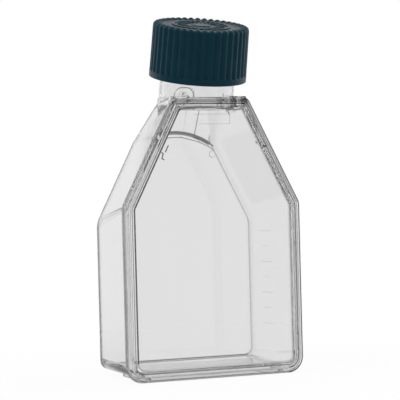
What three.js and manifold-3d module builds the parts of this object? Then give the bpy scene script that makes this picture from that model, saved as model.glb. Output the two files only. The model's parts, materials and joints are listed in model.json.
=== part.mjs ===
// Cell culture flask, 25 cm2, with a canted neck and a ribbed screw cap.
// Millimetres, +Z up. The flask stands on its end: X runs across it, -Y faces
// the welded cover plate and +Y faces the growth surface.
import * as THREE from 'three';
import { mergeVertices } from 'three/addons/utils/BufferGeometryUtils.js';
import Module from 'manifold-3d';

const wasm = await Module();
wasm.setup();

// Outline of the cover plate, which is the widest part of the flask.
const bodyWidth = 51.5;
const bodyHeight = 75.2;
const shoulderHeight = 46.6;
const shoulderTopWidth = 22.1;
const footCornerRadius = 4.5;
const shoulderCornerRadius = 3.5;
const topCornerRadius = 1.8;
const leastCornerRadius = 2;

// Depth, from the crest of the cover's rim back to the growth face.
const bodyDepth = 28.3;
const wall = 1.3;
const topWall = 2.2;

// How far the body's walls lie inside the cover's outline, at each end, and
// the radius of the bend from side to shoulder there.
const frontInset = { side: 1.0, base: 1.2, shoulder: 1.0, top: 0.5, bend: 4 };
const backInset = { side: 2.15, base: 1.5, shoulder: 4.0, top: 0.5, bend: 7 };
const growthEdgeRadius = 1;
const growthFilletRadius = 0.8;

// Weld flange round the body's open side.
const flangeInset = 0.35;
const flangeThickness = 1.2;

// Cover plate: an outer ledge, a raised stacking rim and a sunk window.
const ledgeDrop = 0.3;
const ledgeChamfer = 0.3;
const rimOuterInset = 1.5;
const rimInnerInset = 2.4;
const windowInset = 3.1;
const windowDrop = 0.6;
const coverThickness = 1.6;

// U-shaped foot under the end wall, level with the cover's bottom edge.
const footSideInset = 5.75;
const footBackInset = 6.8;
const footRib = 1.3;
const footRadius = 2.5;

// Ramp from the growth surface up to the neck, a shallow round channel. It
// starts rampDrop below the body's top and meets the bore rampMeet below it.
const rampDrop = 8.4;
const rampMeet = 0.8;
const rampRadius = 26;
const rampHalfWidth = 16;
const rampReach = 40;

// Neck, canted towards the cover, with its bore just clear of the cover.
const neckCant = THREE.MathUtils.degToRad(14.3);
const neckRise = 0.8;
const boreClearance = 0.1;
const neckRadius = 10.25;
const neckWall = 1.7;
const neckExposed = 5.25;
const neckRoot = 7;
const lipChamfer = 0.5;

// Gate pad on the back of the neck, where the moulding was filled.
const padWidth = 7;
const padTop = 0.8;
const padRoot = 3;
const padRadius = 2.2;
const padRelief = 0.45;

// Square plinth that ties the front of the neck to the flange.
const plinthWidth = shoulderTopWidth;
const plinthPastNeck = 0.9;
const plinthRise = 0.45;
const plinthRoot = 5.5;

// Screw cap. Its skirt clears the neck by the depth of the screw thread.
const threadDepth = 0.85;
const capWall = 2.15;
const capDraft = 0.2;
const capHeight = 14.8;
const capTopWall = 1.5;
const capEdgeRadius = 0.5;
const capBandHeight = 1.6;
const ribCount = 40;
const ribHeight = 0.5;
const ribLead = 0.3;
const ribLand = 0.9;
const ringWidth = 0.8;
const ringRadius = 7.6;
const ringHeight = 0.25;

// Sealing liner between the cap's ceiling and the neck's lip.
const linerThickness = 0.9;
const seatGap = 0.3;

const roundSegments = 96;
const cornerDivisions = 5;
const filletDivisions = 3;
const ribDivisions = 6;
const overcut = 1;

const flangeFront = coverThickness;
const flangeBack = flangeFront + flangeThickness;
const boreRadius = neckRadius - neckWall;
const neckHeight = bodyHeight + neckRise;
const neckDepth = flangeFront + boreClearance + boreRadius / Math.cos(neckCant)
  - neckRise * Math.tan(neckCant);
const capBoreRadius = neckRadius + threadDepth;
const capRadius = capBoreRadius + capWall;
const capDisc = capHeight - ribHeight;
const ceiling = capHeight - capTopWall;
const linerBase = ceiling - seatGap - linerThickness;
const lip = neckExposed + linerBase - seatGap;

// A three.js geometry as a manifold solid, with its shared vertices merged.
function solid(geometry) {
  const bare = geometry.clone();
  bare.deleteAttribute('normal');
  bare.deleteAttribute('uv');
  const merged = mergeVertices(bare, 1e-5);
  const index = merged.index.array;
  const kept = [];
  for (let i = 0; i < index.length; i += 3) {
    const [a, b, c] = index.slice(i, i + 3);
    if (a !== b && b !== c && c !== a) kept.push(a, b, c);
  }
  return new wasm.Manifold(new wasm.Mesh({
    numProp: 3,
    vertProperties: new Float32Array(merged.attributes.position.array),
    triVerts: new Uint32Array(kept),
  }));
}

// A manifold solid as a named mesh.
function meshOf(name, shape, material) {
  const { vertProperties, triVerts } = shape.getMesh();
  const geometry = new THREE.BufferGeometry();
  geometry.setAttribute('position', new THREE.BufferAttribute(vertProperties, 3));
  geometry.setIndex(new THREE.BufferAttribute(triVerts, 1));
  geometry.computeVertexNormals();
  const mesh = new THREE.Mesh(geometry, material);
  mesh.name = name;
  return mesh;
}

// Points round a closed outline whose corners, in order, are true arcs.
function roundedRing(corners) {
  const outline = new THREE.Shape();
  corners.forEach(({ at, radius }, i) => {
    const before = corners.at(i - 1).at.clone().sub(at).normalize();
    const after = corners[(i + 1) % corners.length].at.clone().sub(at).normalize();
    const half = before.angleTo(after) / 2;
    const inward = before.clone().add(after).normalize();
    const centre = at.clone().addScaledVector(inward, radius / Math.sin(half));
    const reach = radius / Math.tan(half);
    const start = at.clone().addScaledVector(before, reach).sub(centre);
    const end = at.clone().addScaledVector(after, reach).sub(centre);
    outline.absarc(centre.x, centre.y, radius, start.angle(), end.angle(), false);
  });
  return outline.getPoints(cornerDivisions);
}

// The flask's outline, drawn in by its own amount on each kind of edge.
function flaskRing({ side, base, shoulder, top, bend }) {
  const run = new THREE.Vector2(shoulderTopWidth - bodyWidth, 2 * (bodyHeight - shoulderHeight));
  const slope = run.x / run.y;
  const shift = shoulder * Math.hypot(1, slope);
  const shoulderX = (z) => bodyWidth / 2 - shift + (z - shoulderHeight) * slope;
  const sideX = bodyWidth / 2 - side;
  const topX = shoulderX(bodyHeight - top);
  const bendZ = shoulderHeight + (sideX - bodyWidth / 2 + shift) / slope;
  const foot = Math.max(footCornerRadius - side, leastCornerRadius);
  const crown = Math.max(topCornerRadius - side, wall / 2);
  const corner = (x, z, radius) => ({ at: new THREE.Vector2(x, z), radius });
  return roundedRing([
    corner(-sideX, base, foot),
    corner(sideX, base, foot),
    corner(sideX, bendZ, bend),
    corner(topX, bodyHeight - top, crown),
    corner(-topX, bodyHeight - top, crown),
    corner(-sideX, bendZ, bend),
  ]);
}

// The same inset on every edge of the outline.
function evenRing(inset) {
  const bend = Math.max(shoulderCornerRadius - inset, leastCornerRadius);
  return flaskRing({ side: inset, base: inset, shoulder: inset, top: inset, bend });
}

// Every inset of a wall grown by the wall's own thickness.
function thicken(inset) {
  return {
    side: inset.side + wall,
    base: inset.base + wall,
    shoulder: inset.shoulder + wall,
    top: topWall,
    bend: inset.bend - wall,
  };
}

// A closed solid through outlines of equally many points, front to back.
function loft(sections) {
  const count = sections[0].ring.length;
  const points = sections.flatMap(({ ring, y }) => ring.map((p) => new THREE.Vector3(p.x, y, p.y)));
  const last = points.length - count;
  const faces = [];
  for (const [a, b, c] of THREE.ShapeUtils.triangulateShape(sections[0].ring, [])) faces.push(a, b, c);
  for (const [a, b, c] of THREE.ShapeUtils.triangulateShape(sections.at(-1).ring, [])) {
    faces.push(last + a, last + c, last + b);
  }
  for (let row = 0; row < last; row += count) {
    for (let i = 0; i < count; i += 1) {
      const next = (i + 1) % count;
      const [a, b] = [row + i, row + next];
      faces.push(a, a + count, b, b, a + count, b + count);
    }
  }
  const geometry = new THREE.BufferGeometry().setFromPoints(points);
  geometry.setIndex(faces);
  return solid(geometry);
}

// An even slab of the outline between two depths.
function slab(inset, frontY, backY) {
  const ring = evenRing(inset);
  return loft([{ ring, y: frontY }, { ring, y: backY }]);
}

// A drafted tub from one set of insets to another, with its far edge rounded.
function tub(front, frontY, back, backY, radius) {
  const section = (y, drawnIn) => {
    const along = (y - frontY) / (backY - frontY);
    const inset = {};
    for (const edge of Object.keys(front)) inset[edge] = THREE.MathUtils.lerp(front[edge], back[edge], along);
    for (const edge of ['side', 'base', 'shoulder', 'top']) inset[edge] += drawnIn;
    return { ring: flaskRing(inset), y };
  };
  const sections = [section(frontY, 0)];
  for (let i = 0; i <= filletDivisions; i += 1) {
    const turn = (i / filletDivisions) * (Math.PI / 2);
    sections.push(section(backY - radius * (1 - Math.sin(turn)), radius * (1 - Math.cos(turn))));
  }
  return loft(sections);
}

// A solid of revolution about +Z from [radius, height] pairs.
function turned(profile) {
  const points = profile.map(([radius, height]) => new THREE.Vector2(radius, height));
  return solid(new THREE.LatheGeometry(points, roundSegments).rotateX(Math.PI / 2));
}

// A block given by its lowest and highest corners.
function block(low, high) {
  const size = new THREE.Vector3().subVectors(high, low);
  const middle = new THREE.Vector3().addVectors(low, high).multiplyScalar(0.5);
  return solid(new THREE.BoxGeometry(...size.toArray()).translate(...middle.toArray()));
}

// The ramp's lower and upper ends in the flask's middle plane, as [y, z].
function rampEnds() {
  const top = bodyHeight - rampMeet;
  const boreBack = neckDepth + (neckHeight - top) * Math.tan(neckCant) + boreRadius / Math.cos(neckCant);
  return [[bodyDepth - wall, bodyHeight - rampDrop], [boreBack, top]];
}

// The space above the ramp, which lies outside the flask: an arched profile
// swept along the ramp. offset moves the arch outwards from the inner surface.
function aboveRamp(offset) {
  const radius = rampRadius + offset;
  const spread = Math.asin(rampHalfWidth / radius);
  const profile = new THREE.Shape();
  const upright = Math.PI / 2;
  profile.absarc(0, offset - radius, radius, upright + spread, upright - spread, true);
  profile.lineTo(rampHalfWidth, rampReach);
  profile.lineTo(-rampHalfWidth, rampReach);
  const sweep = { depth: 2 * rampReach, bevelEnabled: false, curveSegments: roundSegments / 4 };
  const geometry = new THREE.ExtrudeGeometry(profile, sweep).translate(0, 0, -rampReach);
  const [[footY, footZ], [topY, topZ]] = rampEnds();
  const along = new THREE.Vector3(0, topY - footY, topZ - footZ).normalize();
  const across = new THREE.Vector3(1, 0, 0);
  const outward = new THREE.Vector3().crossVectors(along, across);
  const frame = new THREE.Matrix4().makeBasis(across, outward, along);
  frame.setPosition(0, footY, footZ);
  return solid(geometry.applyMatrix4(frame));
}

// Moves a solid made upright about the origin onto the neck's axis.
function onNeck(shape) {
  const frame = new THREE.Matrix4().makeRotationX(neckCant);
  frame.setPosition(0, neckDepth, neckHeight);
  return shape.transform(frame.toArray());
}

// U-shaped rib that levels the flask when it stands on its end. Its open
// side meets the flange, where both outlines run out and are trimmed.
function foot() {
  const height = backInset.base + wall / 2;
  const prism = (inset) => {
    const radius = Math.max(footRadius - inset, wall / 2);
    const corner = (x, y) => ({ at: new THREE.Vector2(x, y), radius });
    const side = bodyWidth / 2 - footSideInset - inset;
    const front = flangeFront - footRadius - inset;
    const back = bodyDepth - footBackInset - inset;
    const shape = new THREE.Shape(roundedRing([
      corner(-side, front),
      corner(side, front),
      corner(side, back),
      corner(-side, back),
    ]));
    return solid(new THREE.ExtrudeGeometry(shape, { depth: height, bevelEnabled: false }));
  };
  const behindFlange = block(
    new THREE.Vector3(-bodyWidth, flangeFront, 0),
    new THREE.Vector3(bodyWidth, bodyDepth, height),
  );
  return prism(0).subtract(prism(footRib)).intersect(behindFlange);
}

// Low arched pad on the back of the neck, in the neck's own frame.
function gatePad() {
  const half = padWidth / 2;
  const corner = (x, z, radius) => ({ at: new THREE.Vector2(x, z), radius });
  const face = new THREE.Shape(roundedRing([
    corner(-half, -padRoot, wall / 2),
    corner(half, -padRoot, wall / 2),
    corner(half, padTop, padRadius),
    corner(-half, padTop, padRadius),
  ]));
  const reach = neckRadius + padRelief;
  const prism = new THREE.ExtrudeGeometry(face, { depth: reach + overcut, bevelEnabled: false });
  prism.rotateX(Math.PI / 2).translate(0, reach + overcut, 0);
  const sleeve = turned([
    [0, -padRoot],
    [reach, -padRoot],
    [reach, padTop],
    [0, padTop],
  ]);
  return solid(prism).intersect(sleeve);
}

// One moulding: drafted walls, sloping shoulders, ramp, plinth and neck.
function flaskBody() {
  const hull = tub(frontInset, flangeFront, backInset, bodyDepth, growthEdgeRadius);
  const flange = slab(flangeInset, flangeFront, flangeBack);
  const plinth = block(
    new THREE.Vector3(-plinthWidth / 2, flangeFront, bodyHeight - plinthRoot),
    new THREE.Vector3(plinthWidth / 2, neckDepth + plinthPastNeck, bodyHeight + plinthRise),
  );
  const neck = onNeck(turned([
    [0, -neckRoot],
    [neckRadius, -neckRoot],
    [neckRadius, lip - lipChamfer],
    [neckRadius - lipChamfer, lip],
    [0, lip],
  ]));
  const bore = onNeck(turned([
    [0, -neckRoot],
    [boreRadius, -neckRoot],
    [boreRadius, lip + overcut],
    [0, lip + overcut],
  ]));
  const cavity = tub(
    thicken(frontInset), flangeFront - overcut,
    thicken(backInset), bodyDepth - wall, growthFilletRadius,
  ).subtract(aboveRamp(0));
  const coverSeat = block(
    new THREE.Vector3(-bodyWidth, -bodyDepth, -overcut),
    new THREE.Vector3(bodyWidth, flangeFront, bodyHeight),
  );
  return hull.subtract(aboveRamp(wall))
    .add(flange)
    .add(plinth)
    .add(neck)
    .add(onNeck(gatePad()))
    .add(foot())
    .subtract(cavity)
    .subtract(bore)
    .subtract(coverSeat);
}

// The plate welded over the open side, with its stacking rim and window.
function coverPlate() {
  const ledgeFront = ledgeDrop + ledgeChamfer;
  const edge = loft([
    { ring: evenRing(ledgeChamfer), y: ledgeDrop },
    { ring: evenRing(0), y: ledgeFront },
  ]);
  const plate = slab(0, ledgeFront, coverThickness);
  const rim = slab(rimOuterInset, 0, ledgeFront);
  const window = loft([
    { ring: evenRing(rimInnerInset), y: 0 },
    { ring: evenRing(windowInset), y: windowDrop },
  ]);
  return plate.add(edge).add(rim).subtract(window);
}

// Rings of the ribbed cap, from its open edge up to its top disc. Each gives
// the way a rib stands out there: the ribs rise from a plain band, run over
// the rounded edge and end as low teeth round the disc.
function capLevels() {
  const groove = (z) => capRadius - ribHeight - capDraft * (z / capHeight);
  const shoulder = capDisc - capEdgeRadius;
  const crown = groove(shoulder) - capEdgeRadius;
  const level = (radius, z, outward = 0, upward = 0) => ({ radius, z, outward, upward });
  const levels = [
    level(capRadius, 0),
    level(capRadius, capBandHeight),
    level(groove(capBandHeight), capBandHeight + ribLead, ribHeight),
    level(groove(shoulder), shoulder, ribHeight),
  ];
  for (let i = 1; i <= filletDivisions; i += 1) {
    const turn = (i / filletDivisions) * (Math.PI / 2);
    const [sine, cosine] = [Math.sin(turn), Math.cos(turn)];
    const radius = crown + capEdgeRadius * cosine;
    levels.push(level(radius, shoulder + capEdgeRadius * sine, ribHeight * cosine, ribHeight * sine));
  }
  levels.push(level(crown - ribLand, capDisc, 0, ribHeight));
  levels.push(level(crown - ribLand - ribHeight, capDisc));
  return levels;
}

// The cap's outer form. Each rib has a round crest between two sharp grooves.
function ribbedBlank() {
  const levels = capLevels();
  const count = ribCount * ribDivisions;
  const points = [];
  for (const { radius, z, outward, upward } of levels) {
    for (let i = 0; i < count; i += 1) {
      const angle = (i / count) * 2 * Math.PI;
      const crest = Math.abs(Math.cos((i / ribDivisions) * Math.PI));
      const reach = radius + outward * crest;
      points.push(new THREE.Vector3(reach * Math.cos(angle), reach * Math.sin(angle), z + upward * crest));
    }
  }
  const topRing = (levels.length - 1) * count;
  const bottomCentre = points.push(new THREE.Vector3(0, 0, 0)) - 1;
  const topCentre = points.push(new THREE.Vector3(0, 0, capDisc)) - 1;
  const faces = [];
  for (let i = 0; i < count; i += 1) {
    const next = (i + 1) % count;
    faces.push(bottomCentre, next, i, topCentre, topRing + i, topRing + next);
    for (let row = 0; row < topRing; row += count) {
      const [a, b] = [row + i, row + next];
      faces.push(a, b, a + count, b, b + count, a + count);
    }
  }
  const geometry = new THREE.BufferGeometry().setFromPoints(points);
  geometry.setIndex(faces);
  return solid(geometry);
}

// Ribbed screw cap, drawn about its own axis with its open edge at z = 0.
function screwCap() {
  const inside = turned([
    [0, -overcut],
    [capBoreRadius, -overcut],
    [capBoreRadius, ceiling],
    [0, ceiling],
  ]);
  const ring = turned([
    [ringRadius - ringWidth / 2, capDisc - ringHeight],
    [ringRadius + ringWidth / 2, capDisc - ringHeight],
    [ringRadius + ringWidth / 2, capDisc + ringHeight],
    [ringRadius - ringWidth / 2, capDisc + ringHeight],
    [ringRadius - ringWidth / 2, capDisc - ringHeight],
  ]);
  return ribbedBlank().add(ring).subtract(inside);
}

// Round liner that seals on the neck's lip.
function sealLiner() {
  const radius = capBoreRadius - seatGap;
  return turned([
    [0, linerBase],
    [radius, linerBase],
    [radius, linerBase + linerThickness],
    [0, linerBase + linerThickness],
  ]);
}

const clearPolystyrene = () => new THREE.MeshStandardMaterial({
  color: 0xdfe1e2, roughness: 0.08, metalness: 0, transparent: true, opacity: 0.35,
});
const tealPolyethylene = () => new THREE.MeshStandardMaterial({
  color: 0x16323f, roughness: 0.45, metalness: 0,
});
const whiteFoam = () => new THREE.MeshStandardMaterial({
  color: 0xeeeeea, roughness: 0.8, metalness: 0,
});

// The cap and its liner turn and rise together on the neck's axis.
function closure() {
  const cap = new THREE.Group();
  cap.add(meshOf('screw_cap', screwCap(), tealPolyethylene()));
  cap.add(meshOf('seal_liner', sealLiner(), whiteFoam()));
  cap.position.z = neckExposed;
  const neckFrame = new THREE.Group();
  neckFrame.position.set(0, neckDepth, neckHeight);
  neckFrame.rotation.x = neckCant;
  neckFrame.add(cap);
  return neckFrame;
}

// The whole flask, with its origin under the middle of its bounding box.
function flask() {
  const parts = new THREE.Group();
  parts.add(meshOf('flask_body', flaskBody(), clearPolystyrene()));
  parts.add(meshOf('cover_plate', coverPlate(), clearPolystyrene()));
  parts.add(closure());
  parts.updateMatrixWorld(true);
  const centre = new THREE.Box3().setFromObject(parts, true).getCenter(new THREE.Vector3());
  parts.position.y = -centre.y;
  const group = new THREE.Group();
  group.add(parts);
  return group;
}

const group = flask();
export default group;
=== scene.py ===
"""A clear cell culture flask with a canted neck and a ribbed screw cap.

The packed frame gives every place and size of the mouldings. The operators
below give them their rounded edges, threads, moulded marks and finishes, with
painted shade on the clear parts' edges and marks, and the stage gives them a
floor, soft light and a camera.
"""
import json
import math

import bmesh
import bpy
from bpy.props import FloatProperty, FloatVectorProperty, IntProperty, PointerProperty
from bpy.types import Operator, Panel, PropertyGroup
from mathutils import Matrix, Vector


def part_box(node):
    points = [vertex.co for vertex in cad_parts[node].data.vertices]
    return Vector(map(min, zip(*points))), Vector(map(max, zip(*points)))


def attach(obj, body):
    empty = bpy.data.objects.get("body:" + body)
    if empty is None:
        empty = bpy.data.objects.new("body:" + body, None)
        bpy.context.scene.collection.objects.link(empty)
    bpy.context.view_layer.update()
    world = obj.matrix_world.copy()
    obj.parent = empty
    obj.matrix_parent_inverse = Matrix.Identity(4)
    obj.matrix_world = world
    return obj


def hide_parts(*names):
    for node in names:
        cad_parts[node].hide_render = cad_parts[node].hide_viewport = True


bl_info = {
    "name": "Culture Flask",
    "version": (1, 0, 0),
    "blender": (4, 5, 0),
    "location": "View3D > Sidebar > Culture Flask",
    "description": "Finishes a clear culture flask and its screw cap round their packed frame",
    "category": "Add Mesh",
}

MM = 0.001

# The face attribute of painted shade on rounded edges and moulded lines, in place of the dark
# lines that refraction draws there, and how dark the painted shade is for each line.
PAINTED_SHADE_LAYER = "painted_edge_shade"
PAINTED_SHADES = {
    "arch": 0.9,
    "ramp side": 0.08,
    "edge": 0.5,
    "thread": 0.3,
    "graduation": 0.28,
    "ramp line": 0.7,
    "gate mark": 0.9,
    "ejector mark": 0.9,
    "window mark": 0.9,
    "cover step": 0.3,
    "rim nub": 0.35,
}

# How far under the lip the thread begins, and how deep it sits in its wall.
THREAD_DROP = 7.6 * MM
THREAD_SINK = 0.3 * MM

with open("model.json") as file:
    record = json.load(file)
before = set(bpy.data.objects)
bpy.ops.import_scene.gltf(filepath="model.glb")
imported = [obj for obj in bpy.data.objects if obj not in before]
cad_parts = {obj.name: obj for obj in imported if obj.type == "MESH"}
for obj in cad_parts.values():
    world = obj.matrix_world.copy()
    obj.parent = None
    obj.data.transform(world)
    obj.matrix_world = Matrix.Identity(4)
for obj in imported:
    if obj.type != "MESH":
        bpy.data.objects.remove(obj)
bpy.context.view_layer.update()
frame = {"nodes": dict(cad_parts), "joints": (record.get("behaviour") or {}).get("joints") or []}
nodes = frame["nodes"]

# The crest of the stacking rim, from which depths are measured.
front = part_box("cover_plate")[0].y
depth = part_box("flask_body")[1].y - front

# The neck's own space: x across, y back, z up the neck's axis.
screw = next(joint for joint in frame["joints"] if joint["name"] == "cap_turn")
neck_axis = Vector(screw["axis"]).normalized()
across = Vector((1, 0, 0))
neck_space = Matrix((across, neck_axis.cross(across), neck_axis)).transposed().to_4x4()
neck_space.translation = Vector(screw["pos_m"])


def about_neck(node):
    """Radius and height of each corner of a packed node in the neck's space."""
    to_neck = neck_space.inverted()
    places = [to_neck @ corner.co for corner in nodes[node].data.vertices]
    return [(place.xy.length, place.z) for place in places]


neck_corners = about_neck("flask_body")
cap_corners = about_neck("screw_cap")
lip = max(height for _, height in neck_corners)
neck_radius = max(radius for radius, height in neck_corners if height > lip - 2 * MM)
cap_open = min(height for _, height in cap_corners)
cap_disc = max(height for _, height in cap_corners)
cap_bore = min(radius for radius, height in cap_corners if height < cap_open + 0.1 * MM)


# Sizes and colours that a user would change ------------------------------------

class ClearSettings(PropertyGroup):
    """The clear mouldings: the flask's body and its cover plate."""

    tint: FloatVectorProperty(
        name="Body Tint", description="Light that the body's walls let through",
        subtype="COLOR", min=0, max=1, default=(0.975, 0.975, 0.975))
    cover_tint: FloatVectorProperty(
        name="Cover Tint", description="Light that the cover plate lets through",
        subtype="COLOR", min=0, max=1, default=(1, 1, 1))
    haze: FloatProperty(
        name="Haze", description="Share of the light that the plastic scatters",
        subtype="FACTOR", min=0, max=0.5, default=0.03)
    # The colour mixed into rounded edges and moulded marks as painted shade, in place of the dark
    # lines that refraction draws there.
    painted_edge_colour: FloatVectorProperty(
        name="Line Tint", description="Light that a rounded edge lets through",
        subtype="COLOR", min=0, max=1, default=(0.03, 0.03, 0.032))
    murk: FloatProperty(
        name="Murk", description="Light lost along a path inside the plastic, per metre",
        min=0, max=200, default=6)
    edge_round: FloatProperty(
        name="Edge Rounding", description="Size of the rounding on sharp moulded edges",
        unit="LENGTH", min=0.00002, max=0.0004, default=0.00016)
    crest_round: FloatProperty(
        name="Crest Rounding", description="Size of the rounding on the rim's outer crest",
        unit="LENGTH", min=0.00002, max=0.00025, default=0.0002)
    foot_round: FloatProperty(
        name="Window Rounding", description="Size of the rounding round the foot of the window",
        unit="LENGTH", min=0.00002, max=0.0005, default=0.00024)
    # The band beside a rounded rim edge is painted shade.
    band_width: FloatProperty(
        name="Band Width", description="Width of the dark band beside a rounded edge of the rim",
        unit="LENGTH", min=0.00002, max=0.0003, default=0.0001)
    ramp_round: FloatProperty(
        name="Ramp Rounding", description="Size of the rounding at the foot of the ramp",
        unit="LENGTH", min=0.00002, max=0.001, default=0.0006)
    frost: FloatProperty(
        name="Frosting", description="Roughness of the writing patch on the right shoulder",
        subtype="FACTOR", min=0, max=1, default=0.08)


class MarkSettings(PropertyGroup):
    """Small marks moulded into the clear walls."""

    graduation_count: IntProperty(
        name="Graduations", description="Plain graduation bars on the side wall",
        min=0, max=12, default=7)
    graduation_pitch: FloatProperty(
        name="Graduation Pitch", description="Distance from one graduation to the next",
        unit="LENGTH", min=0.002, max=0.008, default=0.00435)
    graduation_length: FloatProperty(
        name="Graduation Length", description="Length of a graduation bar",
        unit="LENGTH", min=0.001, max=0.012, default=0.0062)
    relief: FloatProperty(
        name="Relief", description="How far a mark stands out of its wall",
        unit="LENGTH", min=0.00002, max=0.0004, default=0.00012)
    ejector_radius: FloatProperty(
        name="Ejector Mark Radius", description="Radius of the round ejector mark",
        unit="LENGTH", min=0.0005, max=0.003, default=0.0011)
    line_width: FloatProperty(
        name="Line Width", description="Width of a raised line",
        unit="LENGTH", min=0.0001, max=0.001, default=0.00024)
    nub_width: FloatProperty(
        name="Nub Width", description="Width of a nub across the stacking rim",
        unit="LENGTH", min=0.0002, max=0.002, default=0.0005)


class ThreadSettings(PropertyGroup):
    """The screw thread on the neck and inside the cap."""

    pitch: FloatProperty(
        name="Pitch", description="Rise of the thread in one turn",
        unit="LENGTH", min=0.002, max=0.005, default=0.003)
    turns: FloatProperty(
        name="Turns", description="Turns of thread on the neck and in the cap",
        min=1, max=3, default=1.75)
    height: FloatProperty(
        name="Height", description="Height of the thread above the wall it stands on",
        unit="LENGTH", min=0.0003, max=0.0008, default=0.0006)
    root_width: FloatProperty(
        name="Root Width", description="Width of the thread at the wall",
        unit="LENGTH", min=0.0006, max=0.0018, default=0.0014)
    crest_width: FloatProperty(
        name="Crest Width", description="Width of the thread at its crest",
        unit="LENGTH", min=0.0002, max=0.0012, default=0.0005)
    steps: IntProperty(
        name="Steps", description="Steps in one turn of thread", min=24, max=180, default=72)


class CapSettings(PropertyGroup):
    """The ribbed cap and its liner."""

    colour: FloatVectorProperty(
        name="Cap Colour", description="Colour of the cap's plastic",
        subtype="COLOR", min=0, max=1, default=(0.0033, 0.03, 0.046))
    gloss_roughness: FloatProperty(
        name="Cap Roughness", description="Roughness of the cap's moulded surface",
        subtype="FACTOR", min=0, max=1, default=0.4)
    bar_count: IntProperty(
        name="Bars", description="Raised bars round the disc", min=8, max=60, default=26)
    bar_inner: FloatProperty(
        name="Bars From", description="Radius at which the raised bars begin",
        unit="LENGTH", min=0.002, max=0.006, default=0.0042)
    bar_outer: FloatProperty(
        name="Bars To", description="Radius at which the raised bars end",
        unit="LENGTH", min=0.004, max=0.0072, default=0.0064)
    bar_width: FloatProperty(
        name="Bar Width", description="Width of a raised bar",
        unit="LENGTH", min=0.0002, max=0.001, default=0.0005)
    bar_height: FloatProperty(
        name="Bar Height", description="Height of a raised bar",
        unit="LENGTH", min=0.0001, max=0.0004, default=0.00025)
    bar_round: FloatProperty(
        name="Bar Rounding", description="Size of the rounding on the bars and the hub",
        unit="LENGTH", min=0.00002, max=0.0002, default=0.00012)
    hub_radius: FloatProperty(
        name="Hub Radius", description="Radius of the dimpled hub at the middle of the disc",
        unit="LENGTH", min=0.001, max=0.004, default=0.0028)
    liner_colour: FloatVectorProperty(
        name="Liner Colour", description="Colour of the foam liner",
        subtype="COLOR", min=0, max=1, default=(0.82, 0.81, 0.78))


class StageSettings(PropertyGroup):
    """Floor, light and camera."""

    floor_size: FloatProperty(
        name="Floor Size", description="Half the side of the square floor",
        unit="LENGTH", min=0.5, max=10, default=3)
    shadow: FloatProperty(
        name="Shadow", description="How much of the object's shadow the floor keeps",
        subtype="FACTOR", min=0, max=1, default=0.07)
    behind: FloatProperty(
        name="Light Behind", description="Light that clear parts show from behind them",
        min=0, max=1, default=0.87)
    beside: FloatProperty(
        name="Light Beside", description="Light that clear parts show from beside and in front",
        min=0, max=1, default=0.87)
    mirrored: FloatProperty(
        name="Mirrored Light", description="Light that glossy parts mirror from the front",
        min=0, max=1, default=0.04)
    room: FloatProperty(
        name="Room Light", description="Even light on matt surfaces", min=0, max=2, default=0.75)
    key_power: FloatProperty(
        name="Key Power", description="Power of the key lamp on the left",
        unit="POWER", min=0, max=20, default=2)
    fill_power: FloatProperty(
        name="Fill Power", description="Power of the fill lamp on the right",
        unit="POWER", min=0, max=20, default=1)
    bounces: IntProperty(
        name="Bounces", description="Times that light may bounce inside the clear walls",
        min=4, max=64, default=32)
    yaw: FloatProperty(
        name="Yaw", description="How far the camera stands to the left of the front",
        subtype="ANGLE", default=math.radians(22.96))
    pitch: FloatProperty(
        name="Pitch", description="How far the camera looks down",
        subtype="ANGLE", default=math.radians(0.46))
    roll: FloatProperty(
        name="Roll", description="How far the camera is turned about its view",
        subtype="ANGLE", default=math.radians(1.49))
    distance: FloatProperty(
        name="Distance", description="Distance from the camera to the point that it looks at",
        unit="LENGTH", min=0.1, max=5, default=0.466)
    aim: FloatVectorProperty(
        name="Aim", description="Point that the camera looks at, from under the rim's crest",
        subtype="TRANSLATION", default=(0.00046, 0.01054, 0.04777))
    lens: FloatProperty(
        name="Lens", description="Focal length in millimetres on a 36 mm sensor",
        min=10, max=500, default=153.35)


# Meshes ---------------------------------------------------------------------------

def at(x, y, z):
    """A point from millimetres across, behind the rim's crest and above the floor."""
    return Vector((x * MM, front + y * MM, z * MM))


def merged_copy(node):
    """The form of a packed node, with its corners merged and its flat faces whole."""
    form = bmesh.new()
    form.from_mesh(nodes[node].data)
    bmesh.ops.remove_doubles(form, verts=form.verts, dist=0.002 * MM)
    bmesh.ops.dissolve_limit(
        form, angle_limit=math.radians(0.6), verts=form.verts, edges=form.edges,
        delimit={"NORMAL"})
    return form


def finished(name, form):
    """A new object that holds a form, which is freed."""
    mesh = bpy.data.meshes.new(name)
    form.to_mesh(mesh)
    form.free()
    piece = bpy.data.objects.new(name, mesh)
    bpy.context.scene.collection.objects.link(piece)
    return piece


def joined(form, extra):
    """A form joined to a second one as one closed skin. Both are freed."""
    body = finished("joined_form", form)
    added = finished("joined_extra", extra)
    modifier = body.modifiers.new("join", "BOOLEAN")
    modifier.operation = "UNION"
    modifier.solver = "EXACT"
    modifier.object = added
    result = bmesh.new()
    result.from_object(body, bpy.context.evaluated_depsgraph_get())
    for piece in (body, added):
        mesh = piece.data
        bpy.data.objects.remove(piece)
        bpy.data.meshes.remove(mesh)
    bmesh.ops.remove_doubles(result, verts=result.verts, dist=0.001 * MM)
    return result


def soften(form, edges, size, mark, value):
    """Rounds edges with two narrow strips, and paints shade on the strips."""
    strips = bmesh.ops.bevel(
        form, geom=edges, offset=size, offset_type="OFFSET", affect="EDGES", segments=2,
        profile=0.5, clamp_overlap=False, material=-1)["faces"]
    for strip in strips:
        strip[mark] = value


def middle(edge):
    """The middle of an edge."""
    return (edge.verts[0].co + edge.verts[1].co) / 2


def sharp_edges(form, angle=32):
    """The edges of a form that turn by more than an angle in degrees."""
    limit = math.radians(angle)
    return [edge for edge in form.edges if edge.is_manifold and edge.calc_face_angle() > limit]


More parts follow.
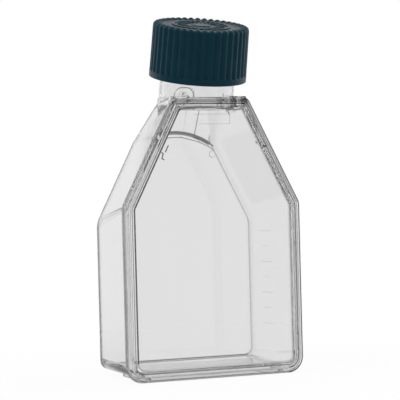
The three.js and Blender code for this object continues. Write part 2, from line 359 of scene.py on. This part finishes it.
def shaded(piece, angle=20):
    """Smooth shading that keeps flat faces flat."""
    for face in piece.data.polygons:
        face.use_smooth = True
    piece.data.set_sharp_from_angle(angle=math.radians(angle))
    weighted = piece.modifiers.new("weighted_normals", "WEIGHTED_NORMAL")
    weighted.mode = "FACE_AREA"
    weighted.keep_sharp = True


def facet_neck(piece):
    """Keeps the neck's facets flat, so that light runs straight through its thick wall."""
    to_neck = neck_space.inverted()
    foot, reach = -8 * MM, neck_radius + 1 * MM
    corners = [to_neck @ corner.co for corner in piece.data.vertices]
    on_neck = [corner.z > foot and corner.xy.length < reach for corner in corners]
    for edge in piece.data.edges:
        if all(on_neck[index] for index in edge.vertices):
            edge.use_edge_sharp = True


def add_bar(form, place, size):
    """A box of a size in metres, put in place by a matrix."""
    bmesh.ops.create_cube(form, size=1, matrix=place @ Matrix.Diagonal((*size, 1)))


def add_line(form, start, end, out, width, relief):
    """A low bar from one point to another, on a wall that faces out in a direction."""
    run = end - start
    ahead = run.normalized()
    beside = ahead.cross(out).normalized()
    turned = Matrix((ahead, beside, ahead.cross(beside))).transposed().to_4x4()
    place = Matrix.Translation((start + end) / 2) @ turned
    add_bar(form, place, (run.length + width, width, 2 * relief))


def add_path(form, points, out, width, relief):
    """Low bars from each point to the next."""
    for start, end in zip(points, points[1:]):
        add_line(form, start, end, out, width, relief)


def add_form(form, extra):
    """Adds a second form, which is freed."""
    mesh = bpy.data.meshes.new("extra_form")
    extra.to_mesh(mesh)
    extra.free()
    form.from_mesh(mesh)
    bpy.data.meshes.remove(mesh)


def with_painted_shade(form, line):
    """A form whose faces all carry the painted shade of a line."""
    mark = form.faces.layers.float.new(PAINTED_SHADE_LAYER)
    for face in form.faces:
        face[mark] = PAINTED_SHADES[line]
    return form


def add_thread(form, settings, root, crest, start):
    """A helical ridge about the neck's axis, which fades out at both its ends."""
    half_root, half_crest = settings.root_width / 2, settings.crest_width / 2
    profile = [(root, -half_root), (crest, -half_crest), (crest, half_crest), (root, half_root)]
    corners = [form.verts.new((radius, 0, start + height)) for radius, height in profile]
    section = form.faces.new(corners)
    steps = round(settings.turns * settings.steps)
    whole = settings.turns * 2 * math.pi
    bmesh.ops.spin(
        form, geom=[section, *section.edges, *section.verts], cent=(0, 0, 0), axis=(0, 0, 1),
        dvec=(0, 0, settings.pitch * settings.turns / steps), angle=whole, steps=steps,
        use_duplicate=False)
    run_out, lowest = math.pi / 3, 0.02
    for corner in form.verts:
        turn = math.atan2(corner.co.y, corner.co.x)
        rise = corner.co.z - start - settings.pitch * turn / (2 * math.pi)
        turn += 2 * math.pi * round(rise / settings.pitch)
        stand = max(lowest, min(1, turn / run_out, (whole - turn) / run_out))
        radius = root + (corner.co.xy.length - root) * stand
        corner.co.xy *= radius / corner.co.xy.length
    bmesh.ops.recalc_face_normals(form, faces=form.faces)
    bmesh.ops.transform(form, matrix=neck_space, verts=form.verts)


# Nodes ----------------------------------------------------------------------------

def new_finish(name):
    """A node material, its tree and its Principled shader."""
    finish = bpy.data.materials.new(name)
    finish.use_nodes = True
    return finish, finish.node_tree, finish.node_tree.nodes["Principled BSDF"]


def wire(tree, value, socket):
    """Sets a socket to a value, or links another socket to it."""
    if isinstance(value, bpy.types.NodeSocket):
        tree.links.new(value, socket)
    else:
        socket.default_value = value


def maths(tree, operation, *values, clamp=False):
    """A Math node, and its result."""
    node = tree.nodes.new("ShaderNodeMath")
    node.operation = operation
    node.use_clamp = clamp
    for value, socket in zip(values, node.inputs):
        wire(tree, value, socket)
    return node.outputs[0]


def fade(tree, value, low, high, to_low=0.0, to_high=1.0):
    """A smooth step from one value to another."""
    node = tree.nodes.new("ShaderNodeMapRange")
    node.interpolation_type = "SMOOTHSTEP"
    for socket, number in zip(node.inputs, (value, low, high, to_low, to_high)):
        wire(tree, number, socket)
    return node.outputs[0]


def product(tree, *values):
    """All the values, multiplied by each other."""
    result = values[0]
    for value in values[1:]:
        result = maths(tree, "MULTIPLY", result, value)
    return result


def along(tree, vector, direction):
    """How far a vector reaches in a direction."""
    node = tree.nodes.new("ShaderNodeVectorMath")
    node.operation = "DOT_PRODUCT"
    wire(tree, vector, node.inputs[0])
    node.inputs[1].default_value = direction
    return node.outputs["Value"]


def blended(tree, factor, first, second):
    """A mix of two colours."""
    node = tree.nodes.new("ShaderNodeMix")
    node.data_type = "RGBA"
    colours = [socket for socket in node.inputs if socket.type == "RGBA"]
    wire(tree, factor, node.inputs["Factor"])
    wire(tree, first, colours[0])
    wire(tree, second, colours[1])
    return next(socket for socket in node.outputs if socket.type == "RGBA")


def noise(tree, scale, detail=3.0, stretch=(1, 1, 1)):
    """A noise over the piece, its pattern stretched by a Mapping node."""
    where = tree.nodes.new("ShaderNodeTexCoord")
    mapping = tree.nodes.new("ShaderNodeMapping")
    mapping.inputs["Scale"].default_value = stretch
    tree.links.new(where.outputs["Object"], mapping.inputs["Vector"])
    node = tree.nodes.new("ShaderNodeTexNoise")
    tree.links.new(mapping.outputs["Vector"], node.inputs["Vector"])
    node.inputs["Scale"].default_value = scale
    node.inputs["Detail"].default_value = detail
    return node.outputs["Fac"]


def bump(tree, height, strength, distance):
    """The normal of a surface raised by a height."""
    node = tree.nodes.new("ShaderNodeBump")
    node.inputs["Strength"].default_value = strength
    node.inputs["Distance"].default_value = distance
    tree.links.new(height, node.inputs["Height"])
    return node.outputs["Normal"]


def opaque_colour(colour):
    """A colour with full alpha."""
    return (*colour, 1)


def rising(tree, value, low, soft):
    """0 below a limit and 1 above it, changing over a margin under it."""
    return fade(tree, value, low - soft, low)


def falling(tree, value, high, soft):
    """1 below a limit and 0 above it, changing over a margin over it."""
    return fade(tree, value, high + soft, high)


def writing_patch(tree, where):
    """1 on the frosted patch of the right shoulder, else 0."""
    soft, lean = 0.6 * MM, 0.14
    aside = along(tree, where, (1, 0, 0))
    behind = along(tree, where, (0, 1, 0))
    height = along(tree, where, (0, lean, 1))
    return product(
        tree,
        rising(tree, aside, 1 * MM, 1 * MM),
        falling(tree, behind, front + 22 * MM, soft),
        rising(tree, behind, front + 3 * MM, soft),
        rising(tree, height, lean * front + 49.4 * MM, soft),
        falling(tree, height, lean * front + 67.2 * MM, soft))


def painted_wedge_shade(tree, where):
    """1 in the wedge at each side of the neck's foot, where shade is painted in place of the
    darkness of the thick plastic that holds the light.
    """
    soft, slope, skew = 0.2 * MM, 0.1, 0.15
    return product(
        tree,
        rising(tree, maths(tree, "ABSOLUTE", along(tree, where, (1, 0, 0))), 8.3 * MM, soft),
        rising(tree, along(tree, where, (0, 1, 0)), front + 2.4 * MM, 2 * soft),
        falling(tree, along(tree, where, (skew, 1, 0)), front + 10.1 * MM, 3 * soft),
        falling(tree, along(tree, where, (0, 0, 1)), 73.5 * MM, soft),
        rising(tree, along(tree, where, (0, slope, 1)), slope * front + 73.1 * MM, soft))


def clear_polystyrene(name, tint):
    """Clear polystyrene with flow lines, a frosted patch, and painted shade on its rounded edges,
    moulded marks, frosted patch and the thick corners at the neck's foot.
    """
    settings = bpy.context.scene.flask_clear
    painted_patch_shade, painted_wedge_strength = 0.05, 0.65
    finish, tree, shader = new_finish(name)
    mark = tree.nodes.new("ShaderNodeAttribute")
    mark.attribute_name = PAINTED_SHADE_LAYER
    flow = noise(tree, 60, 2, (1, 1, 0.25))
    streak = opaque_colour(channel * 0.985 for channel in tint)
    tone = blended(tree, flow, streak, opaque_colour(tint))

    where = tree.nodes.new("ShaderNodeTexCoord").outputs["Object"]
    patch = writing_patch(tree, where)
    tree.links.new(product(tree, patch, settings.frost), shader.inputs["Roughness"])
    # Painted shade: the frosted patch, the rounded edges and marks and the thick corners are mixed
    # towards the edge colour.
    shade = maths(tree, "MULTIPLY_ADD", patch, painted_patch_shade, mark.outputs["Fac"])
    corner = painted_wedge_shade(tree, where)
    shade = maths(tree, "MULTIPLY_ADD", corner, painted_wedge_strength, shade)
    colour = blended(tree, shade, tone, opaque_colour(settings.painted_edge_colour))
    tree.links.new(colour, shader.inputs["Base Color"])

    shader.inputs["IOR"].default_value = 1.59
    shader.inputs["Transmission Weight"].default_value = 1 - settings.haze
    loss = tree.nodes.new("ShaderNodeVolumeAbsorption")
    loss.inputs["Color"].default_value = (0, 0, 0, 1)
    loss.inputs["Density"].default_value = settings.murk
    tree.links.new(loss.outputs[0], tree.nodes["Material Output"].inputs["Volume"])
    return finish


def cap_plastic():
    """Dark blue-green polyethylene with a fine moulded grain."""
    settings = bpy.context.scene.flask_cap
    uneven, grain_depth = 0.05, 0.05 * MM
    finish, tree, shader = new_finish("blue_green_polyethylene")
    cloud = noise(tree, 300, 4)
    darker = opaque_colour(channel * 0.8 for channel in settings.colour)
    lighter = opaque_colour(channel * 1.15 for channel in settings.colour)
    tree.links.new(blended(tree, cloud, darker, lighter), shader.inputs["Base Color"])
    low, high = settings.gloss_roughness - uneven, settings.gloss_roughness + uneven
    tree.links.new(fade(tree, noise(tree, 900), 0.3, 0.7, low, high), shader.inputs["Roughness"])
    shader.inputs["IOR"].default_value = 1.5
    shader.inputs["Specular IOR Level"].default_value = 0.28
    shader.inputs["Specular Tint"].default_value = (0.5, 0.82, 1, 1)
    tree.links.new(bump(tree, noise(tree, 2500), 0.15, grain_depth), shader.inputs["Normal"])
    return finish


def liner_foam():
    """White foam with fine closed cells, and painted shade in their hollows."""
    settings = bpy.context.scene.flask_cap
    cell_depth = 0.08 * MM
    finish, tree, shader = new_finish("white_foam")
    cells = tree.nodes.new("ShaderNodeTexVoronoi")
    where = tree.nodes.new("ShaderNodeTexCoord")
    tree.links.new(where.outputs["Object"], cells.inputs["Vector"])
    cells.inputs["Scale"].default_value = 3500
    hollow = cells.outputs["Distance"]
    darker = opaque_colour(channel * 0.85 for channel in settings.liner_colour)
    lighter = opaque_colour(settings.liner_colour)
    # Painted shade: the colour is darker down in the cells' hollows.
    tree.links.new(blended(tree, hollow, darker, lighter), shader.inputs["Base Color"])
    shader.inputs["Roughness"].default_value = 0.75
    tree.links.new(bump(tree, hollow, 0.4, cell_depth), shader.inputs["Normal"])
    return finish


# Pieces ---------------------------------------------------------------------------

def on_ramp_foot(edge):
    """Whether an edge lies on the arch where the ramp meets the growth face."""
    place = middle(edge)
    flat = any(abs(face.normal.y) > 0.99 for face in edge.link_faces)
    high, between = place.z > 58 * MM, abs(place.x) < 12.6 * MM
    return flat and high and between and place.y > front + 0.8 * depth


def on_ramp_side(edge):
    """Whether an edge lies where the ramp meets a side wall."""
    place = middle(edge)
    return 60 * MM < place.z < 74 * MM and place.y > front + 0.5 * depth


def paint_fillet_shade(form, mark):
    """Paints shade on the fillets round the growth face, which are smooth and were not bevelled.
    """
    foremost, widest = front + depth - 2.3 * MM, 0.7 * MM
    for face in form.faces:
        if face[mark] or face.calc_center_median().y < foremost:
            continue
        longest = max(edge.calc_length() for edge in face.edges)
        if face.calc_area() / longest >= widest:
            continue
        if -0.85 < face.normal.y < -0.5:  # nearest the growth face
            face[mark] = 1 if face.normal.z > 0.5 else 0.6
        elif -0.35 < face.normal.y < -0.2:  # nearest the walls
            face[mark] = 0.2
        elif 0.25 < face.normal.y < 0.97:  # outside
            face[mark] = 0.05


def paint_place_shades(form, mark):
    """Paints lighter shade on the arch's left end, and darker shade on the edges of the pad at the
    neck's foot.
    """
    to_neck = neck_space.inverted()
    arch_end, arch_loss, palest = -4, 0.16, 0.1
    pad_reach, pad_back, pad_low, pad_high = 4.2 * MM, 0.9 * neck_radius, -2.5 * MM, 1.4 * MM
    for face in form.faces:
        place = face.calc_center_median()
        past_end = place.x / MM - arch_end
        if face[mark] > 0.8 and past_end < 0:
            face[mark] = max(palest, PAINTED_SHADES["arch"] + arch_loss * past_end)
        beside = to_neck @ place
        on_pad = abs(beside.x) < pad_reach and beside.y > pad_back
        if face[mark] > 0.4 and on_pad and pad_low < beside.z < pad_high:
            face[mark] = 1


def body_threads():
    """The neck's thread."""
    threads = bpy.context.scene.flask_thread
    ridge = bmesh.new()
    root, crest = neck_radius - THREAD_SINK, neck_radius + threads.height
    add_thread(ridge, threads, root, crest, lip - THREAD_DROP)
    return with_painted_shade(ridge, "thread")


def graduations(settings):
    """Plain bars up the right side wall, a long one and a short one in turn."""
    bars = bmesh.new()
    draw_in, wall_depth = 1.15, 26.7
    lean = Matrix.Rotation(math.atan2(draw_in, wall_depth), 4, "Z")
    centre, thickness = at(23.98, 17.9, 25.5), 0.3 * MM
    middle_count = (settings.graduation_count - 1) / 2
    for index in range(settings.graduation_count):
        rise = Vector((0, 0, (index - middle_count) * settings.graduation_pitch))
        length = settings.graduation_length * (1 if index % 2 == 0 else 0.6)
        place = Matrix.Translation(centre + rise) @ lean
        add_bar(bars, place, (2 * settings.relief, length, thickness))
    return with_painted_shade(bars, "graduation")


def ramp_lines(settings):
    """The crease up the inside of the ramp, and the steps round the arch at its foot."""
    lines = bmesh.new()
    crease = Vector((-0.2, -0.7, -0.69))
    inward = Vector((0, -1, 0))
    width, relief = settings.line_width, settings.relief
    add_line(lines, at(5.8, 26.75, 65.5), at(5, 20.5, 73.1), crease, width, relief)
    step = [(-4.4, 65), (-1.5, 65.4), (1.9, 65.5), (7.4, 64.1), (10.6, 62.6), (11.9, 61.5)]
    add_path(lines, [at(x, 27, z) for x, z in step], inward, width, relief)
    add_line(lines, at(5.9, 27, 65.4), at(11.9, 27, 63.1), inward, 2 * width, relief)
    return with_painted_shade(lines, "ramp line")


def gate_mark(settings):
    """The peaked mark on the pad at the back of the neck's foot, and the parting lines."""
    lines = bmesh.new()
    to_neck = neck_space.inverted()
    corners = [to_neck @ corner.co for corner in nodes["flask_body"].data.vertices]
    pad = max(
        corner.xy.length for corner in corners
        if corner.y > 0 and abs(corner.x) < 2 * MM and abs(corner.z) < 1 * MM)
    peak = [Vector((x * MM, pad, z * MM)) for x, z in ((-0.8, -1.4), (-0.1, -0.3), (0.9, -1.4))]
    add_path(lines, peak, Vector((0, 1, 0)), settings.line_width, settings.relief)
    for degrees_aside, low, high in ((90, -1.7, 0.9), (54, -1.7, -0.1)):
        aside = math.radians(degrees_aside)
        out = Vector((math.sin(aside), -math.cos(aside), 0))
        low_end, high_end = (out * neck_radius + Vector((0, 0, z * MM)) for z in (low, high))
        add_line(lines, low_end, high_end, out, settings.line_width, settings.relief)
    bmesh.ops.transform(lines, matrix=neck_space, verts=lines.verts)
    return with_painted_shade(lines, "gate mark")


def ejector_mark(settings):
    """The low disc that an ejector pin leaves inside the growth face."""
    disc = bmesh.new()
    flank, radius = 0.22 * MM, settings.ejector_radius
    place = Matrix.Translation(at(11.4, 27, 60.6)) @ Matrix.Rotation(math.pi / 2, 4, "X")
    bmesh.ops.create_cone(
        disc, cap_ends=True, segments=40, radius1=radius, radius2=radius - flank,
        depth=2 * settings.relief, matrix=place)
    # The flank gets painted shade, and the top gets none.
    mark = disc.faces.layers.float.new(PAINTED_SHADE_LAYER)
    for face in disc.faces:
        face[mark] = PAINTED_SHADES["ejector mark"] if len(face.verts) == 4 else 0
    return disc


def cover_marks(settings):
    """Short raised lines beside the window's shoulders and across its top."""
    lines = bmesh.new()
    out = Vector((0, -1, 0))
    width, relief = settings.line_width, settings.relief
    window_depth = 0.6
    for path in (
            [(-12.5, 62.5), (-13.3, 60.9)],
            [(-14.4, 60.7), (-14, 60.4), (-14.4, 59.1), (-13.8, 58.8)],
            [(13.1, 63.2), (13.4, 62.8)]):
        add_path(lines, [at(x, window_depth, z) for x, z in path], out, width, relief)
    add_line(lines, at(15.15, 0, 62), at(15.85, 0, 61.9), out, 1.5 * width, relief)
    return with_painted_shade(lines, "window mark")


def cover_steps(settings):
    """Faint steps on the cover plate's inner face under the neck."""
    lines = bmesh.new()
    out = Vector((0, 1, 0))
    inner_face, width, relief = 1.6, 0.6 * settings.line_width, 0.04 * MM
    for path in ([(-4.7, 70.8), (5.6, 70.8)], [(-2.8, 68.2), (5.8, 68.2), (5.6, 73.2)]):
        add_path(lines, [at(x, inner_face, z) for x, z in path], out, width, relief)
    return with_painted_shade(lines, "cover step")


def rim_nubs(settings):
    """Narrow nubs across the right side of the stacking rim."""
    nubs = bmesh.new()
    crest, size = 23.8, (0.9 * MM, 2 * settings.relief, settings.nub_width)
    for height in (35.4, 10.75):
        add_bar(nubs, Matrix.Translation(at(crest, 0, height)), size)
    return with_painted_shade(nubs, "rim nub")


class FLASK_OT_clear_body(Operator):
    """Give the flask's body its rounded edges, neck thread and moulded marks, with painted shade
    on them
    """

    bl_idname = "culture_flask.clear_body"
    bl_label = "Clear Body"

    def execute(self, context):
        settings = context.scene.flask_clear
        form = merged_copy("flask_body")
        # Painted shade on the rounded edges and marks, by line.
        mark = form.faces.layers.float.new(PAINTED_SHADE_LAYER)
        arch = [edge for edge in sharp_edges(form) if on_ramp_foot(edge)]
        soften(form, arch, settings.ramp_round, mark, PAINTED_SHADES["arch"])
        sides = [edge for edge in sharp_edges(form) if on_ramp_side(edge)]
        soften(form, sides, settings.edge_round, mark, PAINTED_SHADES["ramp side"])
        others = [edge for edge in sharp_edges(form) if not on_ramp_side(edge)]
        soften(form, others, settings.edge_round, mark, PAINTED_SHADES["edge"])
        paint_fillet_shade(form, mark)
        paint_place_shades(form, mark)
        marks = context.scene.flask_marks
        raised = bmesh.new()
        raised.faces.layers.float.new(PAINTED_SHADE_LAYER)
        for extra in (body_threads(), graduations(marks), ejector_mark(marks)):
            add_form(raised, extra)
        form = joined(form, raised)
        add_form(form, ramp_lines(marks))
        add_form(form, gate_mark(marks))
        shell = finished("clear_body", form)
        shell.data.materials.append(clear_polystyrene("clear_polystyrene", settings.tint))
        shaded(shell)
        facet_neck(shell)
        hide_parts("flask_body")
        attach(shell, "flask")
        return {"FINISHED"}


# The heights at which the cover's rim is cut, so that the painted shade of its lines changes
# there.
LEVELS = (2 * MM, 46.6 * MM, 73.6 * MM)
# A face whose normal's y is below this looks straight to the front.
FLAT = -0.99


def outward(place, direction):
    """How far a direction points away from the cover's middle."""
    aside = place - at(0, 0, 37)
    return aside.x * direction.x + aside.z * direction.z


def on_outer_crest(edge):
    """Whether an edge is the outer one of the stacking rim's crest."""
    place = middle(edge)
    away = max(outward(place, face.normal) for face in edge.link_faces)
    return place.y < front + 0.05 * MM and away > 5 * MM


def on_window_foot(edge):
    """Whether an edge lies round the foot of the window."""
    return 0.55 * MM < middle(edge).y - front < 0.65 * MM and edge.calc_face_angle_signed() < 0


def first(*cases):
    """The value of the first case that holds."""
    return next(value for holds, value in cases if holds)


def paint_cover_shades(form, mark):
    """Paints shade on the lines of the cover's rim, ledge and window by where they lie."""
    for height in LEVELS:
        bmesh.ops.bisect_plane(
            form, geom=[*form.verts, *form.edges, *form.faces], dist=0.0001 * MM,
            plane_co=(0, 0, height), plane_no=(0, 0, 1))
    for face in form.faces:
        place = face.calc_center_median()
        below = (place.y - front) / MM
        away = outward(place, face.normal)
        right = place.x > 0
        top = place.z > LEVELS[2] - 0.4 * MM
        bottom = place.z < 5 * MM
        upper_right = right and place.z > LEVELS[1]
        if face[mark] and below > 1:  # round the weld
            face[mark] = 0.3
        elif face[mark] and away < 0 and below < 0.15:  # the crest's inner edge
            face[mark] = first((top, 0.3), (right, 0.4), (True, 0.8))
        elif face[mark] and away < 0:  # the foot of the window
            face[mark] = first((top, 0.8), (right or bottom, 0.4), (True, 1))
        elif face[mark] and below < 0.2:  # the crest's outer edge
            face[mark] = 1 if right or top else 0.1
        elif face[mark] and below < 0.3:  # the foot of the crest's outer wall
            face[mark] = 0.6 if right else 0.15
        elif face[mark]:  # the ledge's outer edge
            face[mark] = 1 if right else 0.45
        elif face.normal.y < FLAT and 0.25 < below < 0.35:  # the ledge
            face[mark] = first((top, 0.8), (upper_right, 0.45), (bottom, 0.35), (True, 0))
        elif face.normal.y < -0.5 and away > 5 * MM:  # the chamfer
            face[mark] = 1 if right else 0.4


def band_flats(form, mark, width):
    """Gives the rim's flat faces a band along their borders, with the painted shade of the edge
    there.
    """
    window = front + 0.7 * MM
    flats = [
        face for face in form.faces
        if face.normal.y < FLAT and face.calc_center_median().y < window]
    bands = bmesh.ops.inset_region(
        form, faces=flats, thickness=width, use_even_offset=True, use_boundary=True)["faces"]
    shaded_edge_faces = [face for face in form.faces if face[mark] and face.normal.y > FLAT]
    found = {edge: face[mark] for face in shaded_edge_faces for edge in face.edges}
    for band in bands:
        band[mark] = max(band[mark], *(found.get(edge, 0) for edge in band.edges))


class FLASK_OT_clear_cover(Operator):
    """Give the welded cover plate its rounded rim and window edge, with painted shade along them
    """

    bl_idname = "culture_flask.clear_cover"
    bl_label = "Clear Cover"

    def execute(self, context):
        settings = context.scene.flask_clear
        form = merged_copy("cover_plate")
        # Painted shade on the rounded rim, window edge and bands.
        mark = form.faces.layers.float.new(PAINTED_SHADE_LAYER)
        crest = [edge for edge in sharp_edges(form) if on_outer_crest(edge)]
        soften(form, crest, settings.crest_round, mark, 1)
        foot = [edge for edge in sharp_edges(form, 30) if on_window_foot(edge)]
        soften(form, foot, settings.foot_round, mark, 1)
        softened = {edge for face in form.faces if face[mark] for edge in face.edges}
        others = [edge for edge in sharp_edges(form) if edge not in softened]
        soften(form, others, settings.edge_round, mark, 1)
        paint_cover_shades(form, mark)
        band_flats(form, mark, settings.band_width)
        weld, overlap = max(corner.co.y for corner in form.verts), 0.02 * MM
        for corner in form.verts:
            if corner.co.y > weld - overlap / 2:
                corner.co.y += overlap
        marks = context.scene.flask_marks
        for extra in (cover_marks(marks), cover_steps(marks), rim_nubs(marks)):
            add_form(form, extra)
        cover = finished("clear_cover", form)
        cover.data.materials.append(clear_polystyrene("clear_cover", settings.cover_tint))
        shaded(cover)
        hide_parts("cover_plate")
        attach(cover, "flask")
        return {"FINISHED"}


class FLASK_OT_cap(Operator):
    """Finish the ribbed cap with its raised bars, hub and inner thread"""

    bl_idname = "culture_flask.cap"
    bl_label = "Screw Cap"

    def execute(self, context):
        settings = context.scene.flask_cap
        threads = context.scene.flask_thread
        form = merged_copy("screw_cap")
        inner = bmesh.new()
        root, crest = cap_bore + THREAD_SINK, cap_bore - threads.height
        add_thread(inner, threads, root, crest, lip - THREAD_DROP - threads.pitch / 2)
        raised = bmesh.new()
        disc = cap_disc - 0.5 * MM
        reach = settings.bar_outer - settings.bar_inner
        outwards = Matrix.Translation((settings.bar_inner + reach / 2, 0, disc))
        for index in range(settings.bar_count):
            turned = Matrix.Rotation(2 * math.pi * index / settings.bar_count, 4, "Z")
            size = (reach, settings.bar_width, 2 * settings.bar_height)
            add_bar(raised, turned @ outwards, size)
        bmesh.ops.create_cone(
            raised, cap_ends=True, segments=48, radius1=settings.hub_radius,
            radius2=settings.hub_radius - 0.2 * MM, depth=2 * settings.bar_height,
            matrix=Matrix.Translation((0, 0, disc)))
        bmesh.ops.bevel(
            raised, geom=sharp_edges(raised), offset=settings.bar_round, offset_type="OFFSET",
            affect="EDGES", segments=2, profile=0.5, material=-1)
        bmesh.ops.transform(raised, matrix=neck_space, verts=raised.verts)
        add_form(form, inner)
        add_form(form, raised)
        cap = finished("ribbed_cap", form)
        cap.data.materials.append(cap_plastic())
        shaded(cap, 44)
        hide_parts("screw_cap")
        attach(cap, "cap")
        return {"FINISHED"}


class FLASK_OT_liner(Operator):
    """Give the sealing liner its foam"""

    bl_idname = "culture_flask.liner"
    bl_label = "Seal Liner"

    def execute(self, context):
        nodes["seal_liner"].material_slots[0].material = liner_foam()
        return {"FINISHED"}


# Stage ----------------------------------------------------------------------------

def forward(settings):
    """The level direction from the stage's front to its back."""
    return (math.sin(settings.yaw), math.cos(settings.yaw), 0)


def studio_level(tree, settings, ahead):
    """Light from a direction: white to the camera, else by how far behind the object it is."""
    rays = tree.nodes.new("ShaderNodeLightPath").outputs
    through = fade(tree, ahead, -0.2, 0.75, settings.beside, settings.behind)
    mirrored = fade(tree, ahead, -0.4, 0.65, settings.mirrored, settings.behind)
    gloss = maths(tree, "SUBTRACT", rays["Is Glossy Ray"], rays["Is Transmission Ray"], clamp=True)
    level = maths(tree, "MULTIPLY_ADD", gloss, mirrored, rays["Is Camera Ray"])
    return maths(tree, "MULTIPLY_ADD", rays["Is Transmission Ray"], through, level), rays


def seen_directly(tree, rays):
    """1 for rays from the camera, a mirror surface or a clear one, else 0."""
    seen = maths(tree, "MAXIMUM", rays["Is Camera Ray"], rays["Is Glossy Ray"])
    return maths(tree, "MAXIMUM", seen, rays["Is Transmission Ray"])


def lay_floor(settings):
    """A white floor that keeps a trace of the object's shadow near it."""
    form = bmesh.new()
    bmesh.ops.create_grid(form, x_segments=1, y_segments=1, size=settings.floor_size)
    bmesh.ops.translate(form, verts=form.verts, vec=(0, 0, -0.05 * MM))
    floor = finished("studio_floor", form)
    finish, tree, shader = new_finish("studio_floor")
    shader.inputs["Base Color"].default_value = (0.9, 0.9, 0.9, 1)
    shader.inputs["Roughness"].default_value = 0.9
    shader.inputs["Specular IOR Level"].default_value = 0
    glow = tree.nodes.new("ShaderNodeEmission")
    where = tree.nodes.new("ShaderNodeTexCoord")
    reach = tree.nodes.new("ShaderNodeVectorMath")
    reach.operation = "LENGTH"
    tree.links.new(where.outputs["Object"], reach.inputs[0])
    near = fade(tree, reach.outputs["Value"], 0.04, 0.16, 1 - settings.shadow, 1)
    behind = along(tree, where.outputs["Object"], forward(settings))
    ahead = maths(tree, "DIVIDE", behind, maths(tree, "ADD", reach.outputs["Value"], 0.1))
    level, rays = studio_level(tree, settings, ahead)
    tree.links.new(level, glow.inputs["Strength"])
    mix = tree.nodes.new("ShaderNodeMixShader")
    tree.links.new(maths(tree, "MULTIPLY", seen_directly(tree, rays), near), mix.inputs[0])
    tree.links.new(shader.outputs[0], mix.inputs[1])
    tree.links.new(glow.outputs[0], mix.inputs[2])
    tree.links.new(mix.outputs[0], tree.nodes["Material Output"].inputs["Surface"])
    floor.data.materials.append(finish)


def light_world(settings):
    """White to the camera, and even light on matt surfaces."""
    world = bpy.data.worlds.new("studio_light")
    bpy.context.scene.world = world
    world.use_nodes = True
    tree = world.node_tree
    way = tree.nodes.new("ShaderNodeTexCoord").outputs["Generated"]
    ahead = along(tree, way, forward(settings))
    level, rays = studio_level(tree, settings, ahead)
    level = maths(tree, "MULTIPLY_ADD", rays["Is Diffuse Ray"], settings.room, level)
    tree.links.new(level, tree.nodes["Background"].inputs["Color"])


def hang_lamp(name, place, size, power):
    """A soft rectangular lamp that faces the object and isn't seen through it."""
    lamp = bpy.data.lights.new(name, "AREA")
    lamp.shape = "RECTANGLE"
    lamp.size, lamp.size_y = size
    lamp.energy = power
    holder = bpy.data.objects.new(name, lamp)
    bpy.context.scene.collection.objects.link(holder)
    holder.location = place
    towards = Vector((0, 0, 0.06)) - Vector(place)
    holder.rotation_euler = towards.to_track_quat("-Z", "Y").to_euler()
    holder.visible_transmission = False
    holder.visible_camera = False


def place_camera(settings):
    """A camera at its yaw, pitch and roll, a distance from the point it looks at."""
    view = Vector(forward(settings)) * math.cos(settings.pitch)
    view.z = -math.sin(settings.pitch)
    right = Vector((math.cos(settings.yaw), -math.sin(settings.yaw), 0))
    down = view.cross(right)
    right_rolled = math.cos(settings.roll) * right + math.sin(settings.roll) * down
    down_rolled = math.cos(settings.roll) * down - math.sin(settings.roll) * right
    lens = bpy.data.cameras.new("camera")
    lens.lens = settings.lens
    lens.sensor_width = 36
    camera = bpy.data.objects.new("camera", lens)
    bpy.context.scene.collection.objects.link(camera)
    aim = Vector(settings.aim) + Vector((0, front, 0))
    turned = Matrix((right_rolled, -down_rolled, -view)).transposed().to_4x4()
    camera.matrix_world = Matrix.Translation(aim - settings.distance * view) @ turned
    bpy.context.scene.camera = camera


class FLASK_OT_stage(Operator):
    """Lay the floor, hang the lamps and place the camera"""

    bl_idname = "culture_flask.stage"
    bl_label = "Stage"

    def execute(self, context):
        settings = context.scene.flask_stage
        lay_floor(settings)
        light_world(settings)
        hang_lamp("key_lamp", (-0.45, -0.2, 0.75), (0.6, 0.6), settings.key_power)
        hang_lamp("fill_lamp", (0.7, -0.1, 0.35), (0.5, 0.6), settings.fill_power)
        place_camera(settings)
        cycles = context.scene.cycles
        cycles.max_bounces = cycles.glossy_bounces = settings.bounces
        cycles.transmission_bounces = settings.bounces
        context.scene.view_settings.view_transform = "Standard"
        return {"FINISHED"}


class FLASK_PT_sidebar(Panel):
    """The flask's operators, and the sizes and colours they use"""

    bl_label = "Culture Flask"
    bl_idname = "FLASK_PT_sidebar"
    bl_space_type = "VIEW_3D"
    bl_region_type = "UI"
    bl_category = "Culture Flask"

    def draw(self, context):
        for operator in OPERATORS:
            self.layout.operator(operator.bl_idname)
        for name, group in SETTINGS.items():
            box = self.layout.box()
            box.label(text=group.__doc__)
            for field in group.__annotations__:
                box.prop(getattr(context.scene, name), field)


SETTINGS = {
    "flask_clear": ClearSettings,
    "flask_marks": MarkSettings,
    "flask_thread": ThreadSettings,
    "flask_cap": CapSettings,
    "flask_stage": StageSettings,
}
OPERATORS = (
    FLASK_OT_clear_body, FLASK_OT_clear_cover, FLASK_OT_cap, FLASK_OT_liner, FLASK_OT_stage,
)
CLASSES = (*SETTINGS.values(), *OPERATORS, FLASK_PT_sidebar)


def register():
    """Registers the classes and hangs the settings on the scene."""
    for new_class in CLASSES:
        bpy.utils.register_class(new_class)
    for name, group in SETTINGS.items():
        setattr(bpy.types.Scene, name, PointerProperty(type=group))


def unregister():
    """Takes the settings off the scene and removes the classes."""
    for name in SETTINGS:
        delattr(bpy.types.Scene, name)
    for old_class in reversed(CLASSES):
        bpy.utils.unregister_class(old_class)


def main():
    """Builds every piece and the stage."""
    register()
    bpy.ops.culture_flask.clear_body()
    bpy.ops.culture_flask.clear_cover()
    bpy.ops.culture_flask.cap()
    bpy.ops.culture_flask.liner()
    bpy.ops.culture_flask.stage()


if __name__ == "__main__":
    main()
